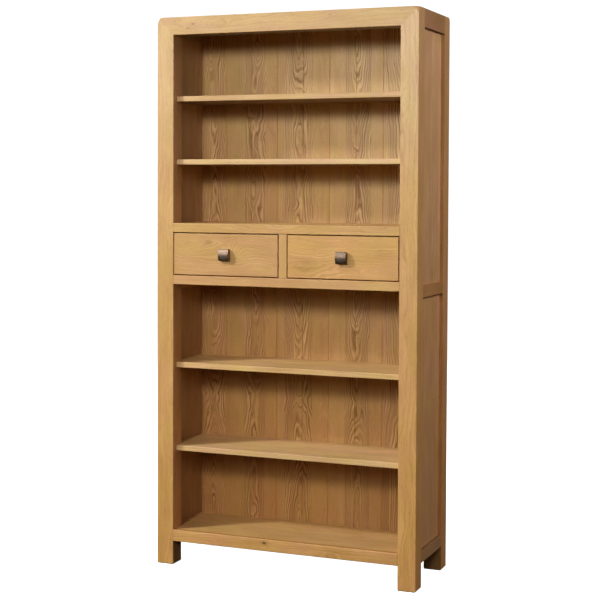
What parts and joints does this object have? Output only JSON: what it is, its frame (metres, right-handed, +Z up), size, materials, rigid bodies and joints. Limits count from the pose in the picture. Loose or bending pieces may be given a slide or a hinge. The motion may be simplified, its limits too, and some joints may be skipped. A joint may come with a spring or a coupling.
{
  "type": "bookcase with drawers",
  "caption": "Tall open oak bookcase with square corner posts, a mitred top with rounded corners, fixed shelves, panelled sides and a band of small drawers at mid height.",
  "frame": {"origin": "centre of the overall footprint, drawer knobs included, at floor level", "axes": "+Z up, front of the bookcase towards -Y, +X towards its right side as seen from the front"},
  "size_m": [0.945, 0.371, 1.9],
  "materials": {
    "oak_frame": "satin lacquered solid oak",
    "oak_boards": "satin lacquered oak boards",
    "oak_back": "satin lacquered oak, V-jointed",
    "oak_inner": "sanded, clear sealed",
    "knob_metal": "aged pewter, brushed",
    "screw_steel": "zinc plated"
  },
  "bodies": {
    "carcass": {"post_front_left": "oak_frame", "post_front_right": "oak_frame", "post_rear_left": "oak_frame", "post_rear_right": "oak_frame", "top_rail_front": "oak_frame", "top_rail_rear": "oak_frame", "top_panel": "oak_boards", "mitre_tongues": "oak_inner", "side_rail_top_left": "oak_frame", "side_rail_top_right": "oak_frame", "side_rail_middle_left": "oak_frame", "side_rail_middle_right": "oak_frame", "side_rail_bottom_left": "oak_frame", "side_rail_bottom_right": "oak_frame", "side_panel_upper_left": "oak_boards", "side_panel_upper_right": "oak_boards", "side_panel_lower_left": "oak_boards", "side_panel_lower_right": "oak_boards", "bottom_rail_front": "oak_frame", "bottom_rail_rear": "oak_frame", "middle_rail_rear": "oak_frame", "bottom_board": "oak_boards", "drawer_rail_lower": "oak_frame", "drawer_rail_upper": "oak_frame", "drawer_muntin": "oak_frame", "drawer_divider": "oak_frame", "board_under_drawers": "oak_boards", "board_over_drawers": "oak_boards", "drawer_guide_left": "oak_inner", "drawer_guide_right": "oak_inner", "drawer_kickers": "oak_inner", "drawer_stops": "oak_inner", "shelf_lower_1": "oak_boards", "shelf_lower_2": "oak_boards", "shelf_upper_1": "oak_boards", "shelf_upper_2": "oak_boards", "back_board_1": "oak_back", "back_board_2": "oak_back", "back_board_3": "oak_back", "back_board_4": "oak_back", "back_board_5": "oak_back", "back_board_6": "oak_back", "back_board_7": "oak_back", "back_board_8": "oak_back", "back_board_9": "oak_back"},
    "left_drawer": {"left_drawer_front": "oak_frame", "left_drawer_side_left": "oak_inner", "left_drawer_side_right": "oak_inner", "left_drawer_back": "oak_inner", "left_drawer_bottom": "oak_inner", "left_drawer_knob": "knob_metal", "left_drawer_knob_screw": "screw_steel"},
    "right_drawer": {"right_drawer_front": "oak_frame", "right_drawer_side_left": "oak_inner", "right_drawer_side_right": "oak_inner", "right_drawer_back": "oak_inner", "right_drawer_bottom": "oak_inner", "right_drawer_knob": "knob_metal", "right_drawer_knob_screw": "screw_steel"}
  },
  "joints": [
    {"name": "left_drawer_slide", "type": "slide", "parent": "carcass", "child": "left_drawer", "axis": [0, -1, 0], "range_m": [0, 0.21]},
    {"name": "right_drawer_slide", "type": "slide", "parent": "carcass", "child": "right_drawer", "axis": [0, -1, 0], "range_m": [0, 0.21]}
  ]
}
